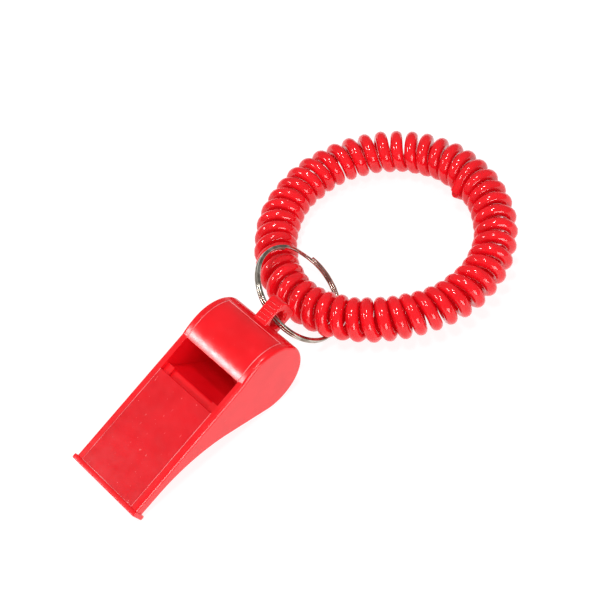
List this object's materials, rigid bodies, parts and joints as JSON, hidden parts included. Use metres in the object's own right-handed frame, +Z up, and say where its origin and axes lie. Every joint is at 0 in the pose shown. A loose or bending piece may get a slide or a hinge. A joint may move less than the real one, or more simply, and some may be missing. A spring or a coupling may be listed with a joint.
{
  "type": "pea whistle on a coiled wrist band",
  "caption": "Plastic pea whistle with a top sounding window and a rear lug, hung by a split ring from a springy coiled wrist band.",
  "frame": {"origin": "centre of the bounding box's underside, on the ground that the whistle and the band lie on", "axes": "+Z up; the whistle points along Y with its lip towards -Y and the band towards +Y; X runs across the whistle"},
  "size_m": [0.064, 0.126, 0.0197],
  "materials": {
    "body_plastic": "moulded red plastic, satin gloss",
    "plate_plastic": "moulded red plastic, slightly scuffed",
    "roof_plastic": "moulded red plastic, satin gloss",
    "pea_cork": "matte painted ball",
    "ring_nickel": "bright nickel-plated spring wire",
    "coil_plastic": "glossy flexible extruded cord"
  },
  "bodies": {
    "whistle": {"whistle_body": "body_plastic", "top_plate": "plate_plastic", "chamber_roof": "roof_plastic"},
    "rolling_pea": {"pea": "pea_cork"},
    "ring": {"split_ring": "ring_nickel"},
    "band": {"coil_band": "coil_plastic"}
  },
  "joints": [
    {"name": "pea_roll", "type": "hinge", "parent": "whistle", "child": "rolling_pea", "pos_m": [0.00276, -0.02, 0.00985], "axis": [1, 0, 0], "continuous": true},
    {"name": "ring_swing", "type": "hinge", "parent": "whistle", "child": "ring", "pos_m": [0.00276, -0.009, 0.01484], "axis": [1, 0, 0], "range_deg": [-15, 80]},
    {"name": "band_turn", "type": "hinge", "parent": "ring", "child": "band", "pos_m": [0, 0.03054, 0.00802], "axis": [-0.1007, -0.0279, 0.9945], "continuous": true}
  ]
}
